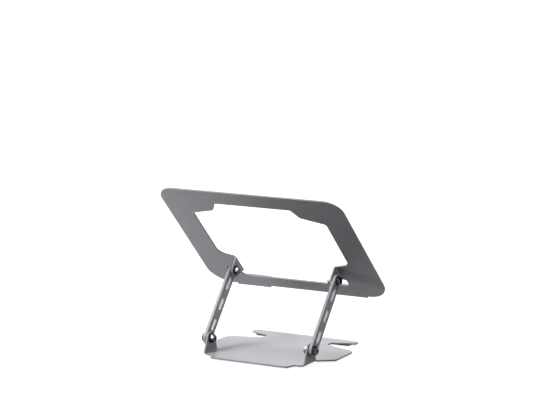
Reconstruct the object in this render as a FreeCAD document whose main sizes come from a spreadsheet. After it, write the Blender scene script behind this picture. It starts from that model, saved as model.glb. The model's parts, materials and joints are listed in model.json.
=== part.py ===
import FreeCAD, Part
import math
import os
import Sketcher

# Folding stand for a portable computer. Two stamped sheets, a base and a
# top plate, are joined by a pair of slotted arms through four friction
# hinges. Both sheets come out of one blank: the base is cut from inside
# the top plate, so the opening of the top plate is the outline of the
# base plus the width of the cut.
#
# World frame, millimetres: X to the side, +Y to the rear, +Z up. The
# origin lies on the table, midway between the foremost and the rearmost
# point of the stand at rest.

doc = FreeCAD.newDocument("FoldingStand")

# Driving dimensions

sizes = doc.addObject("Spreadsheet::Sheet", "dims")

dimensions = (
    ("sheet", 2.0, "thickness of both stamped sheets"),
    ("bend_inside", 1.5, "inside radius of every bend"),
    ("nest_gap", 1.5, "cut between the base and the top plate in the blank"),
    ("foot_rise", 2.0, "height of the feet"),
    ("base_back", 13.0, "middle of the base blank, behind the origin"),
    ("rear_edge", 65.5, "base, rear edge from the middle"),
    ("rear_half", 55.0, "base, half width of the rear edge"),
    ("step_half", 59.5, "base, half width where the rear edge steps in"),
    ("ear_rear", 50.3, "base ear, rear end of the bend"),
    ("ear_front", 19.3, "base ear, front end of the bend"),
    ("relief", 1.5, "width and depth of the bend reliefs"),
    ("wing_half", 93.7, "base, half width over the wings"),
    ("wing_rear", 4.3, "wing, rear corner"),
    ("wing_front", 47.4, "wing, front corner"),
    ("slot_inner", 47.0, "side slots of the base, half distance between them"),
    ("slot_rear", 63.0, "side slots of the base, rear inner corner"),
    ("slot_front", 76.4, "side slots of the base, front inner corner"),
    ("prong_half", 77.5, "base, half width over the front prongs"),
    ("prong_rear", 87.0, "prong, rear corner of the tip"),
    ("front_edge", 98.0, "base, front edge from the middle"),
    ("corner_small", 3.0, "small corner radius of the sheets"),
    ("corner_slot", 5.5, "corner radius at the inner end of the side slots"),
    ("corner_wing", 10.0, "corner radius of the wings"),
    ("ear_inner", 71.0, "half distance between the inner faces of the ears"),
    ("ear_tip", 9.2, "radius of the round ear tips"),
    ("lower_back", 34.2, "lower hinge axis, behind the middle of the base"),
    ("lower_rise", 18.4, "lower hinge axis above the underside of the base"),
    ("arm_pitch", 101.7, "distance between the two hinge axes"),
    ("arm_lean", 49.3, "arms, angle above the table at rest"),
    ("arm_half", 8.5, "half width of an arm"),
    ("arm_thick", 4.5, "thickness of an arm"),
    ("arm_edge", 0.6, "chamfer round the faces of an arm"),
    ("slot_first", 20.4, "arm slots, first centre from the lower axis"),
    ("slot_pitch", 30.4, "arm slots, distance between centres"),
    ("slot_count", 3, "arm slots, number"),
    ("slot_long", 20.0, "arm slots, length end to end"),
    ("slot_wide", 6.5, "arm slots, width"),
    ("plate_tilt", 44.3, "top plate, angle above the table at rest"),
    ("plate_half", 130.2, "top plate, half width"),
    ("plate_rear", 92.5, "top plate, rear edge in blank coordinates"),
    ("plate_front", 120.5, "top plate, front edge in blank coordinates"),
    ("plate_corner_rear", 24.0, "top plate, rear corner radius"),
    ("plate_corner_front", 30.0, "top plate, front corner radius"),
    ("upper_front", 66.6, "upper hinge axis in blank coordinates"),
    ("upper_drop", 13.9, "upper hinge axis below the top plate underside"),
    ("open_rear_half", 54.0, "opening, half width of the rear edge"),
    ("shoulder_half", 62.0, "opening, half width where the shoulder starts"),
    ("shoulder_start", 51.3, "opening, shoulder at its inner end"),
    ("shoulder_end", 41.5, "opening, shoulder at the side"),
    ("tab_rear", 56.0, "plate ear, rear end of the bend"),
    ("tab_front", 84.5, "plate ear, front end of the bend"),
    ("stop_clear", 5.0, "stops, outer side from the start of the front corner"),
    ("stop_long", 48.0, "stops, length"),
    ("stop_proud", 6.0, "stops, front face in front of the edge of the top plate"),
    ("stop_height", 18.0, "stops, top above the underside of the plate"),
    ("stop_corner", 7.0, "stops, radius of the top corners"),
    ("liner_thick", 3.0, "stop liners, thickness"),
    ("liner_inset", 2.5, "stop liners, distance from the edges of a stop"),
    ("bolt_shank", 6.0, "hinge bolts, shank diameter"),
    ("bolt_play", 0.1, "difference of diameter between a bore and the shank"),
    ("head_wide", 11.5, "hinge bolts, head diameter"),
    ("head_tall", 3.4, "hinge bolts, head height"),
    ("head_rim", 1.3, "hinge bolts, straight rim of the head"),
    ("socket_flats", 4.0, "hinge bolts, hexagon socket over its flats"),
    ("socket_deep", 2.1, "hinge bolts, socket depth"),
    ("shank_proud", 0.8, "hinge bolts, end of the shank beyond the nut"),
    ("washer_wide", 12.8, "washers, outside diameter"),
    ("washer_thick", 1.0, "washers, thickness"),
    ("washer_sides", 24, "washers, flats round the edge"),
    ("nut_flats", 10.0, "lock nuts, over the flats"),
    ("nut_tall", 3.6, "lock nuts, hexagon height"),
    ("collar_wide", 8.8, "lock nuts, collar diameter"),
    ("collar_tall", 1.4, "lock nuts, collar height"),
    ("pad_thick", 2.0, "cushions on the top plate, thickness"),
    ("pad_wide", 11.0, "cushions on the top plate, width"),
    ("rear_pad_long", 62.0, "rear cushions, length"),
    ("rear_pad_end", 1.0, "rear cushions, outer end from the start of the corner"),
    ("front_pad_long", 46.0, "front cushions, length"),
    ("foot_wide", 11.0, "feet, width"),
    ("foot_long", 36.0, "front and rear feet, length"),
    ("front_foot_out", 52.0, "front feet, centre from the middle"),
    ("rear_foot_out", 33.0, "rear feet, centre from the middle"),
    ("side_foot_long", 30.0, "side feet, length"),
    ("pad_cut", 3.0, "cushions, liners and feet, cut across each corner"),
)

for row, (alias, value, meaning) in enumerate(dimensions, start=1):
    sizes.set("A%d" % row, alias)
    sizes.set("B%d" % row, str(value))
    sizes.setAlias("B%d" % row, alias)
    sizes.set("C%d" % row, meaning)
doc.recompute()

# Positions that several pieces share, worked out from the sheet

ear_outer = "(dims.ear_inner + dims.sheet)"
arm_inner = "(dims.ear_inner + dims.sheet + dims.washer_thick)"
arm_outer = "(%s + dims.arm_thick)" % arm_inner
head_seat = "(%s + dims.washer_thick)" % arm_outer
nut_seat = "(dims.ear_inner - dims.washer_thick)"
bend_outside = "(dims.bend_inside + dims.sheet)"
fold_start = "(%s - %s)" % (ear_outer, bend_outside)
plate_fold_start = "(%s + dims.bend_inside)" % ear_outer
bore = "(dims.bolt_shank + dims.bolt_play)"
bore_radius = "(%s / 2)" % bore
stop_outer = "(dims.plate_half - dims.plate_corner_front - dims.stop_clear)"
stop_inner = "(%s - dims.stop_long)" % stop_outer
stop_middle = "(%s - dims.stop_long / 2)" % stop_outer
stop_reach = "(dims.plate_front + dims.stop_proud)"

lower_y = "(dims.base_back + dims.lower_back)"
lower_z = "(dims.foot_rise + dims.lower_rise)"
upper_y = "(%s - dims.arm_pitch * cos(dims.arm_lean))" % lower_y
upper_z = "(%s + dims.arm_pitch * sin(dims.arm_lean))" % lower_z

# The top plate stands so that its own hinge axis falls on the upper axis.
plate_y = ("(%s + dims.upper_front * cos(dims.plate_tilt)"
           " - dims.upper_drop * sin(dims.plate_tilt))" % upper_y)
plate_z = ("(%s + dims.upper_front * sin(dims.plate_tilt)"
           " + dims.upper_drop * cos(dims.plate_tilt))" % upper_z)

pieces = []


# Helpers for sketches and features

def number(expression):
    """Value of an expression of the sheet."""
    result = sizes.evalExpression(str(expression))
    return float(getattr(result, "Value", result))


def new_body(label):
    body = doc.addObject("PartDesign::Body", label)
    body.Label = label
    pieces.append(body)
    return body


def place(body, x="0", y="0", z="0", axis=(1, 0, 0), angle="0"):
    """Position and turn of a body, bound to the sheet."""
    body.Placement = FreeCAD.Placement(
        FreeCAD.Vector(number(x), number(y), number(z)),
        FreeCAD.Rotation(FreeCAD.Vector(*axis), number(angle)))
    body.setExpression(".Placement.Base.x", x)
    body.setExpression(".Placement.Base.y", y)
    body.setExpression(".Placement.Base.z", z)
    body.setExpression(".Placement.Rotation.Angle", angle)


def new_sketch(body, name, role, offset="0"):
    """Sketch on an origin plane of the body, moved along its normal."""
    plane = next(p for p in body.Origin.OriginFeatures if p.Role == role)
    sketch = body.newObject("Sketcher::SketchObject", name)
    sketch.AttachmentSupport = [(plane, "")]
    sketch.MapMode = "FlatFace"
    sketch.setExpression(".AttachmentOffset.Base.z", offset)
    return sketch


def pin_point(sketch, geometry, end, x, y):
    """Holds one end of a line or arc at x, y from the sketch origin."""
    for kind, expression in (("DistanceX", x), ("DistanceY", y)):
        index = sketch.addConstraint(Sketcher.Constraint(
            kind, -1, 1, geometry, end, number(expression)))
        sketch.setExpression("Constraints[%d]" % index, expression)


def set_radius(sketch, geometry, radius):
    index = sketch.addConstraint(
        Sketcher.Constraint("Radius", geometry, number(radius)))
    sketch.setExpression("Constraints[%d]" % index, radius)


def polygon(sketch, points):
    """Closed outline through points given as pairs of expressions."""
    places = [FreeCAD.Vector(number(x), number(y), 0) for x, y in points]
    first = sketch.GeometryCount
    count = len(points)
    for index in range(count):
        start = places[index]
        end = places[(index + 1) % count]
        sketch.addGeometry(Part.LineSegment(start, end), False)
    for index in range(count):
        following = first + (index + 1) % count
        sketch.addConstraint(Sketcher.Constraint(
            "Coincident", first + index, 2, following, 1))
    for index, (x, y) in enumerate(points):
        pin_point(sketch, first + index, 1, x, y)


def circle(sketch, x, y, radius):
    centre = FreeCAD.Vector(number(x), number(y), 0)
    index = sketch.addGeometry(Part.Circle(
        centre, FreeCAD.Vector(0, 0, 1), number(radius)), False)
    pin_point(sketch, index, 3, x, y)
    set_radius(sketch, index, radius)


def regular(sketch, over_flats, sides):
    """Regular outline about the origin, sized over its flats."""
    step = 360.0 / sides
    reach = "(%s) / 2 / cos(%g)" % (over_flats, step / 2)
    turns = [step * index for index in range(sides)]
    polygon(sketch, [("%s * cos(%g)" % (reach, turn), "%s * sin(%g)" % (reach, turn))
                     for turn in turns])


def clipped(sketch, x, y, wide, deep):
    """Rectangle about a centre with its four corners cut off."""
    side, end = "((%s) / 2)" % wide, "((%s) / 2)" % deep
    side_cut, end_cut = side + " - dims.pad_cut", end + " - dims.pad_cut"
    quarter = [(side, end_cut), (side_cut, end)]
    ring = []
    for left, down in ((False, False), (True, False), (True, True), (False, True)):
        run = quarter if left == down else quarter[::-1]
        ring += [("(%s) %s (%s)" % (x, "-" if left else "+", across),
                  "(%s) %s (%s)" % (y, "-" if down else "+", along))
                 for across, along in run]
    polygon(sketch, ring)


def obround(sketch, x, y, length, radius):
    """Slot shape with round ends about a centre, length end to end."""
    reach = "((%s) / 2 - (%s))" % (length, radius)
    middle = FreeCAD.Vector(number(x), number(y), 0)
    along = FreeCAD.Vector(1, 0, 0)
    across = FreeCAD.Vector(0, 1, 0)
    half = number(reach)
    size = number(radius)
    up = FreeCAD.Vector(0, 0, 1)
    high = middle + along * half
    low = middle - along * half
    far = sketch.addGeometry(Part.ArcOfCircle(
        Part.Circle(high, up, size), -math.pi / 2, math.pi / 2), False)
    near = sketch.addGeometry(Part.ArcOfCircle(
        Part.Circle(low, up, size), math.pi / 2, 1.5 * math.pi), False)
    top = sketch.addGeometry(Part.LineSegment(
        high + across * size, low + across * size), False)
    bottom = sketch.addGeometry(Part.LineSegment(
        low - across * size, high - across * size), False)
    for first, start, second, end in ((far, 2, top, 1), (top, 2, near, 1),
                                      (near, 2, bottom, 1), (bottom, 2, far, 1)):
        sketch.addConstraint(Sketcher.Constraint(
            "Tangent", first, start, second, end))
    sketch.addConstraint(Sketcher.Constraint("Equal", far, near))
    set_radius(sketch, far, radius)
    for geometry, sign in ((far, "+"), (near, "-")):
        pin_point(sketch, geometry, 3, "(%s) %s %s" % (x, sign, reach), y)


def quarter_bend(sketch, x, y, start):
    """Section of a right-angle bend of the sheet about a centre.

    start is the angle, in degrees, of the first of its two ends."""
    up = FreeCAD.Vector(0, 0, 1)
    centre = FreeCAD.Vector(number(x), number(y), 0)
    first = math.radians(start)
    rings = []
    for radius in (bend_outside, "dims.bend_inside"):
        ring = sketch.addGeometry(Part.ArcOfCircle(Part.Circle(
            centre, up, number(radius)), first, first + math.pi / 2), False)
        for end, angle in ((1, start), (2, start + 90)):
            right = round(math.cos(math.radians(angle)))
            above = round(math.sin(math.radians(angle)))
            pin_point(sketch, ring, end, "(%s) + %d * (%s)" % (x, right, radius),
                      "(%s) + %d * (%s)" % (y, above, radius))
        set_radius(sketch, ring, radius)
        rings.append(ring)
    for end in (1, 2):
        angle = first + (end - 1) * math.pi / 2
        ray = FreeCAD.Vector(math.cos(angle), math.sin(angle), 0)
        edge = sketch.addGeometry(Part.LineSegment(
            centre + ray * number(bend_outside),
            centre + ray * number("dims.bend_inside")), False)
        sketch.addConstraint(Sketcher.Constraint("Coincident", edge, 1, rings[0], end))
        sketch.addConstraint(Sketcher.Constraint("Coincident", edge, 2, rings[1], end))


def ear_profile(sketch, root_y, near, far, pivot_y, pivot_z):
    """Ear from its root line to a round tip about the hinge axis.

    The two sides run from the ends of the root tangent to the tip."""
    pivot = FreeCAD.Vector(number(pivot_y), number(pivot_z), 0)
    radius = number("dims.ear_tip")
    hand = 1 if number(pivot_z) > number(root_y) else -1
    corners = [FreeCAD.Vector(number(end), number(root_y), 0) for end in (near, far)]
    touches = []
    for corner, side in zip(corners, (hand, -hand)):
        away = corner - pivot
        reach = math.atan2(away.y, away.x) - side * math.acos(radius / away.Length)
        touches.append(reach)
    start, end = (touches[1], touches[0]) if hand > 0 else (touches[0], touches[1])
    while end < start:
        end += 2 * math.pi
    tip = sketch.addGeometry(Part.ArcOfCircle(Part.Circle(
        pivot, FreeCAD.Vector(0, 0, 1), radius), start, end), False)
    ends = (2, 1) if hand > 0 else (1, 2)
    root = sketch.addGeometry(Part.LineSegment(corners[0], corners[1]), False)
    for index in (0, 1):
        touch = pivot + FreeCAD.Vector(
            math.cos(touches[index]), math.sin(touches[index]), 0) * radius
        side = sketch.addGeometry(Part.LineSegment(corners[index], touch), False)
        sketch.addConstraint(Sketcher.Constraint(
            "Coincident", side, 1, root, index + 1))
        sketch.addConstraint(Sketcher.Constraint(
            "Tangent", side, 2, tip, ends[index]))
    pin_point(sketch, root, 1, near, root_y)
    pin_point(sketch, root, 2, far, root_y)
    pin_point(sketch, tip, 3, pivot_y, pivot_z)
    set_radius(sketch, tip, "dims.ear_tip")
    circle(sketch, pivot_y, pivot_z, bore_radius)


def pad(body, sketch, length):
    feature = body.newObject("PartDesign::Pad", sketch.Name + "_pad")
    feature.Profile = sketch
    feature.setExpression("Length", length)
    doc.recompute()
    return feature


def cut_through(body, sketch):
    """Pocket through everything, both ways, so its side doesn't matter."""
    before = body.Shape.Volume
    feature = body.newObject("PartDesign::Pocket", sketch.Name + "_cut")
    feature.Profile = sketch
    feature.Type = "ThroughAll"
    feature.Midplane = True
    doc.recompute()
    if feature.Shape.Volume > before - 1.0:
        raise RuntimeError("%s removes nothing" % feature.Name)
    return feature


def round_corners(body, points, radius):
    """Rounds the upright edges that stand on the given outline points."""
    base = body.Tip
    wanted = [(number(x), number(y)) for x, y in points]
    names = []
    for index, edge in enumerate(base.Shape.Edges, start=1):
        if abs(edge.tangentAt(edge.FirstParameter).z) < 0.999:
            continue
        spot = edge.CenterOfMass
        if any(math.hypot(spot.x - x, spot.y - y) < 0.01 for x, y in wanted):
            names.append("Edge%d" % index)
    feature = body.newObject("PartDesign::Fillet", body.Name + "_corners")
    feature.Base = (base, names)
    feature.setExpression("Radius", radius)
    doc.recompute()
    return feature


def mirror_halves(body):
    """Adds the other half of a body that is drawn on one side of X = 0."""
    plane = next(p for p in body.Origin.OriginFeatures if p.Role == "YZ_Plane")
    feature = body.newObject("PartDesign::Mirrored", body.Name + "_halves")
    feature.TransformMode = "Whole shape"
    feature.MirrorPlane = (plane, [""])
    body.Tip = feature
    doc.recompute()
    return feature


# Base: one stamped sheet with wings, prongs and two ears bent up

def make_base():
    body = new_body("base_plate")
    place(body, y="dims.base_back", z="dims.foot_rise")
    relief_in = "(%s - dims.relief)" % fold_start
    rear_corner = ("dims.rear_half", "dims.rear_edge")
    step = ("dims.step_half", "dims.ear_rear + 1.4 * dims.relief")
    wing_corners = [("dims.wing_half", "dims.wing_rear"),
                    ("dims.wing_half", "-dims.wing_front")]
    slot_corners = [("dims.slot_inner", "-dims.slot_rear"),
                    ("dims.slot_inner", "-dims.slot_front")]
    prong_corners = [("dims.prong_half", "-dims.prong_rear"),
                     ("dims.prong_half", "-dims.front_edge")]
    outline = [
        ("0", "dims.rear_edge"), rear_corner, step,
        (relief_in, "dims.ear_rear + 0.8 * dims.relief"),
        (relief_in, "dims.ear_rear"),
        (fold_start, "dims.ear_rear"),
        (fold_start, "dims.ear_front"),
        (relief_in, "dims.ear_front"),
        (relief_in, "dims.ear_front - dims.relief"),
        (ear_outer, "dims.ear_front - dims.relief"),
    ] + wing_corners + slot_corners + prong_corners + [("0", "-dims.front_edge")]
    sketch = new_sketch(body, "base_outline", "XY_Plane")
    polygon(sketch, outline)
    pad(body, sketch, "dims.sheet")
    round_corners(body, [rear_corner, step, wing_corners[0], prong_corners[0]],
                  "dims.corner_small")
    round_corners(body, [wing_corners[1]], "dims.corner_wing")
    round_corners(body, slot_corners + [prong_corners[1]], "dims.corner_slot")

    sketch = new_sketch(body, "base_bend", "XZ_Plane", "-dims.ear_rear")
    quarter_bend(sketch, fold_start, bend_outside, -90)
    pad(body, sketch, "dims.ear_rear - dims.ear_front")

    sketch = new_sketch(body, "base_ear", "YZ_Plane", "dims.ear_inner")
    ear_profile(sketch, bend_outside, "dims.ear_front", "dims.ear_rear",
                "dims.lower_back", "dims.lower_rise")
    pad(body, sketch, "dims.sheet")
    mirror_halves(body)


# Top plate: the rest of the blank, with ears bent down and stops bent up

def make_top_plate():
    body = new_body("top_plate")
    place(body, y=plate_y, z=plate_z, angle="dims.plate_tilt")
    stop_start = "(%s - %s)" % (stop_reach, bend_outside)
    rear_corner = ("dims.plate_half", "dims.plate_rear")
    front_corner = ("dims.plate_half", "-dims.plate_front")
    outline = [
        ("0", "dims.plate_rear"), rear_corner, front_corner,
        (stop_outer, "-dims.plate_front"),
        (stop_outer, "-" + stop_start),
        (stop_inner, "-" + stop_start),
        (stop_inner, "-dims.plate_front"),
        ("0", "-dims.plate_front"),
    ]
    sketch = new_sketch(body, "plate_outline", "XY_Plane")
    polygon(sketch, outline)
    pad(body, sketch, "dims.sheet")
    round_corners(body, [rear_corner], "dims.plate_corner_rear")
    round_corners(body, [front_corner], "dims.plate_corner_front")

    # The opening follows the outline of the base, one cut width outside.
    side = "(dims.wing_half + dims.nest_gap)"
    slant = "((dims.slot_rear - dims.wing_front) / (dims.wing_half - dims.slot_inner))"
    wing_line = "(dims.wing_front + dims.nest_gap)"
    relief_out = "(%s + dims.relief)" % plate_fold_start
    rear = [("dims.open_rear_half", "dims.rear_edge + dims.nest_gap"),
            ("dims.shoulder_half", "dims.shoulder_start")]
    shoulder = (side, "dims.shoulder_end")
    wing = (side, "-%s" % wing_line)
    tip_half = "(dims.prong_half + dims.nest_gap)"
    pocket = [(tip_half, "-(dims.tab_front + dims.relief)"),
              (tip_half, "-(dims.front_edge + dims.nest_gap)")]
    opening = [("-1", "dims.rear_edge + dims.nest_gap")] + rear + [
        shoulder, wing,
        (relief_out, "-(%s + %s * (%s - %s))" % (wing_line, slant, side, relief_out)),
        (relief_out, "-dims.tab_rear"),
        (plate_fold_start, "-dims.tab_rear"),
        (plate_fold_start, "-dims.tab_front"),
        (relief_out, "-dims.tab_front"),
    ] + pocket + [("-1", "-(dims.front_edge + dims.nest_gap)")]
    sketch = new_sketch(body, "plate_opening", "XY_Plane")
    polygon(sketch, opening)
    cut_through(body, sketch)
    round_corners(body, rear + [shoulder], "dims.corner_small + dims.nest_gap")
    round_corners(body, [wing], "dims.corner_wing + dims.nest_gap")
    round_corners(body, [pocket[1]], "dims.corner_slot + dims.nest_gap")

    sketch = new_sketch(body, "plate_ear_bend", "XZ_Plane", "dims.tab_rear")
    quarter_bend(sketch, plate_fold_start, "-dims.bend_inside", 90)
    pad(body, sketch, "dims.tab_front - dims.tab_rear")

    sketch = new_sketch(body, "plate_ear", "YZ_Plane", "dims.ear_inner")
    ear_profile(sketch, "-dims.bend_inside", "-dims.tab_front", "-dims.tab_rear",
                "-dims.upper_front", "-dims.upper_drop")
    pad(body, sketch, "dims.sheet")

    sketch = new_sketch(body, "stop_bend", "YZ_Plane", stop_inner)
    quarter_bend(sketch, "-" + stop_start, bend_outside, 180)
    pad(body, sketch, "dims.stop_long")

    sketch = new_sketch(body, "stop_wall", "XZ_Plane", stop_reach + " - dims.sheet")
    stop_wall(sketch)
    pad(body, sketch, "dims.sheet")
    mirror_halves(body)


def stop_wall(sketch):
    """Upright face of a stop: straight foot, two round top corners."""
    low, high = bend_outside, "dims.stop_height"
    left, right = stop_inner, stop_outer
    corner = "dims.stop_corner"
    up = FreeCAD.Vector(0, 0, 1)
    size = number(corner)
    arcs = []
    for x, sign, start in ((right, "-", 0.0), (left, "+", math.pi / 2)):
        centre_x = "(%s %s %s)" % (x, sign, corner)
        centre_y = "(%s - %s)" % (high, corner)
        centre = FreeCAD.Vector(number(centre_x), number(centre_y), 0)
        arc = sketch.addGeometry(Part.ArcOfCircle(
            Part.Circle(centre, up, size), start, start + math.pi / 2), False)
        pin_point(sketch, arc, 3, centre_x, centre_y)
        set_radius(sketch, arc, corner)
        arcs.append(arc)
    corners = [FreeCAD.Vector(number(x), number(low), 0) for x in (left, right)]
    top = number(high)
    ends = [FreeCAD.Vector(number(left), top - size, 0),
            FreeCAD.Vector(number(left) + size, top, 0),
            FreeCAD.Vector(number(right) - size, top, 0),
            FreeCAD.Vector(number(right), top - size, 0)]
    foot = sketch.addGeometry(Part.LineSegment(corners[0], corners[1]), False)
    out = sketch.addGeometry(Part.LineSegment(corners[1], ends[3]), False)
    crown = sketch.addGeometry(Part.LineSegment(ends[2], ends[1]), False)
    back = sketch.addGeometry(Part.LineSegment(ends[0], corners[0]), False)
    pin_point(sketch, foot, 1, left, low)
    pin_point(sketch, foot, 2, right, low)
    sketch.addConstraint(Sketcher.Constraint("Coincident", foot, 2, out, 1))
    sketch.addConstraint(Sketcher.Constraint("Coincident", back, 2, foot, 1))
    sketch.addConstraint(Sketcher.Constraint("Tangent", out, 2, arcs[0], 1))
    sketch.addConstraint(Sketcher.Constraint("Tangent", arcs[0], 2, crown, 1))
    sketch.addConstraint(Sketcher.Constraint("Tangent", crown, 2, arcs[1], 1))
    sketch.addConstraint(Sketcher.Constraint("Tangent", arcs[1], 2, back, 1))


# Arms: flat bars with round ends, a bore at each end and a row of slots

def make_arm(label, side):
    body = new_body(label)
    place(body, y=lower_y, z=lower_z, angle="180 - dims.arm_lean")
    face = arm_inner if side > 0 else "-%s" % arm_outer
    sketch = new_sketch(body, label + "_profile", "YZ_Plane", face)
    obround(sketch, "dims.arm_pitch / 2", "0",
            "dims.arm_pitch + 2 * dims.arm_half", "dims.arm_half")
    circle(sketch, "0", "0", bore_radius)
    circle(sketch, "dims.arm_pitch", "0", bore_radius)
    bar = pad(body, sketch, "dims.arm_thick")
    rim = []
    for index, edge in enumerate(bar.Shape.Edges, start=1):
        inside = max(math.hypot(v.Y, v.Z) for v in edge.Vertexes)
        flat = edge.BoundBox.XLength < 0.01
        if flat and edge.Length > 25.0 and inside > number("dims.arm_half") - 0.01:
            rim.append("Edge%d" % index)
    edges = body.newObject("PartDesign::Chamfer", label + "_edges")
    edges.Base = (bar, rim)
    edges.setExpression("Size", "dims.arm_edge")
    doc.recompute()

    sketch = new_sketch(body, label + "_slot", "YZ_Plane", face)
    obround(sketch, "dims.slot_first", "0", "dims.slot_long", "dims.slot_wide / 2")
    slot = cut_through(body, sketch)
    row = body.newObject("PartDesign::LinearPattern", label + "_slots")
    row.Originals = [slot]
    row.Direction = (sketch, ["H_Axis"])
    row.setExpression("Length", "dims.slot_pitch * (dims.slot_count - 1)")
    row.setExpression("Occurrences", "dims.slot_count")
    body.Tip = row
    doc.recompute()


# Hinge hardware: bolt, three washers and a lock nut on each of four axes

def hinge_place(body, side, level, distance):
    """Local +Z points out of the stand, at a distance from the middle."""
    y, z = (lower_y, lower_z) if level == "lower" else (upper_y, upper_z)
    sign = "" if side > 0 else "-"
    place(body, sign + distance, y, z, (0, 1, 0), sign + "90")


def make_bolt(label, side, level):
    body = new_body(label)
    hinge_place(body, side, level, head_seat)
    end = "-(%s - %s + dims.nut_tall + dims.collar_tall + dims.shank_proud)" % (
        head_seat, nut_seat)
    sketch = new_sketch(body, label + "_turned", "XZ_Plane")
    crown = "(dims.head_wide * 0.3)"
    polygon(sketch, [
        ("0", end), ("dims.bolt_shank / 2", end), ("dims.bolt_shank / 2", "0"),
        ("dims.head_wide / 2", "0"), ("dims.head_wide / 2", "dims.head_rim"),
        (crown, "dims.head_tall"), ("0", "dims.head_tall"),
    ])
    turned = body.newObject("PartDesign::Revolution", label + "_body")
    turned.Profile = sketch
    turned.ReferenceAxis = (sketch, ["V_Axis"])
    turned.Angle = 360.0
    doc.recompute()
    before = body.Shape.Volume
    sketch = new_sketch(body, label + "_hexagon", "XY_Plane", "dims.head_tall")
    regular(sketch, "dims.socket_flats", 6)
    socket = body.newObject("PartDesign::Pocket", label + "_socket")
    socket.Profile = sketch
    socket.setExpression("Length", "dims.socket_deep")
    doc.recompute()
    if body.Shape.Volume > before - 1.0:
        raise RuntimeError("%s has no socket" % label)


def make_washer(label, side, level, distance):
    body = new_body(label)
    hinge_place(body, side, level, distance)
    sketch = new_sketch(body, label + "_ring", "XY_Plane")
    sides = round(number("dims.washer_sides"))
    regular(sketch, "dims.washer_wide", sides)
    regular(sketch, bore, sides)
    pad(body, sketch, "dims.washer_thick")


def make_nut(label, side, level):
    body = new_body(label)
    hinge_place(body, side, level, "(%s - dims.nut_tall)" % nut_seat)
    sketch = new_sketch(body, label + "_hexagon", "XY_Plane")
    regular(sketch, "dims.nut_flats", 6)
    circle(sketch, "0", "0", bore_radius)
    pad(body, sketch, "dims.nut_tall")
    sketch = new_sketch(body, label + "_collar", "XY_Plane", "-dims.collar_tall")
    circle(sketch, "0", "0", "dims.collar_wide / 2")
    circle(sketch, "0", "0", bore_radius)
    pad(body, sketch, "dims.collar_tall")


# Soft pieces: cushions on the top plate, liners in the stops, feet

def make_pad(label, side, on_plate, out, y, wide, deep):
    body = new_body(label)
    centre = out if side > 0 else "-" + out
    if on_plate:
        place(body, y=plate_y, z=plate_z, angle="dims.plate_tilt")
        sketch = new_sketch(body, label + "_shape", "XY_Plane", "dims.sheet")
        clipped(sketch, centre, y, wide, deep)
        pad(body, sketch, "dims.pad_thick")
    else:
        place(body, y="dims.base_back")
        sketch = new_sketch(body, label + "_shape", "XY_Plane")
        clipped(sketch, centre, y, wide, deep)
        pad(body, sketch, "dims.foot_rise")


def make_liner(label, side):
    body = new_body(label)
    place(body, y=plate_y, z=plate_z, angle="dims.plate_tilt")
    front = stop_reach + " - dims.sheet - dims.liner_thick"
    sketch = new_sketch(body, label + "_shape", "XZ_Plane", front)
    wide = "dims.stop_long - 2 * dims.liner_inset"
    low = "(dims.sheet + dims.bend_inside + 0.5)"
    high = "(dims.stop_height - dims.liner_inset)"
    centre = stop_middle if side > 0 else "-" + stop_middle
    clipped(sketch, centre, "(%s + %s) / 2" % (low, high), wide,
            "%s - %s" % (high, low))
    pad(body, sketch, "dims.liner_thick")


make_base()
make_top_plate()
for name, side in (("left", -1), ("right", 1)):
    make_arm("arm_" + name, side)
    for level in ("lower", "upper"):
        ending = "%s_%s" % (level, name)
        make_bolt("bolt_" + ending, side, level)
        make_washer("head_washer_" + ending, side, level, arm_outer)
        make_washer("friction_washer_" + ending, side, level, ear_outer)
        make_washer("nut_washer_" + ending, side, level, nut_seat)
        make_nut("lock_nut_" + ending, side, level)
    rear_strip = "(dims.plate_rear + dims.rear_edge + dims.nest_gap) / 2"
    front_strip = "-(dims.plate_front + dims.front_edge + dims.nest_gap) / 2"
    rear_out = ("(dims.plate_half - dims.plate_corner_rear - dims.rear_pad_end"
                " - dims.rear_pad_long / 2)")
    make_pad("cushion_rear_" + name, side, True, rear_out,
             rear_strip, "dims.rear_pad_long", "dims.pad_wide")
    make_pad("cushion_front_" + name, side, True, stop_middle,
             front_strip, "dims.front_pad_long", "dims.pad_wide")
    make_liner("stop_liner_" + name, side)
    make_pad("foot_front_" + name, side, False, "dims.front_foot_out",
             "-(dims.front_edge + dims.slot_front) / 2",
             "dims.foot_long", "dims.foot_wide")
    make_pad("foot_rear_" + name, side, False, "dims.rear_foot_out",
             "dims.rear_edge - dims.foot_wide", "dims.foot_long", "dims.foot_wide")
    make_pad("foot_side_" + name, side, False, "(dims.wing_half - dims.foot_wide)",
             "(dims.wing_rear - dims.wing_front) / 2",
             "dims.foot_wide", "dims.side_foot_long")

doc.recompute()

# Every object has to be sound before anything is written.

for item in doc.Objects:
    if "Invalid" in item.State or "Error" in item.State:
        raise RuntimeError("%s failed: %s" % (item.Name, item.State))
for body in pieces:
    if body.Shape.isNull() or not body.Shape.isValid():
        raise RuntimeError("%s has no valid shape" % body.Label)
    if len(body.Shape.Solids) != 1:
        raise RuntimeError("%s is not one solid" % body.Label)

os.makedirs("parts", exist_ok=True)
for body in pieces:
    body.Shape.exportStep("parts/%s.step" % body.Label)
print("%d pieces written" % len(pieces))
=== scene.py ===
# %% [markdown]
# # Folding desk stand
# The stand is built in a CAD program first: a base and a top plate, each
# stamped from sheet, two slotted arms, and a stack of bolt, washers and lock
# nut at each end of every arm. Here those solids arrive as a fixed frame,
# and Blender gives them their finishes, their fine hardware and their
# rubber. All of it could be modelled here, but sheet bends and bores want
# the exact sizes that a CAD program keeps.

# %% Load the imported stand
import json
import math

import bpy
import bmesh
from mathutils import Matrix, Vector

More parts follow.
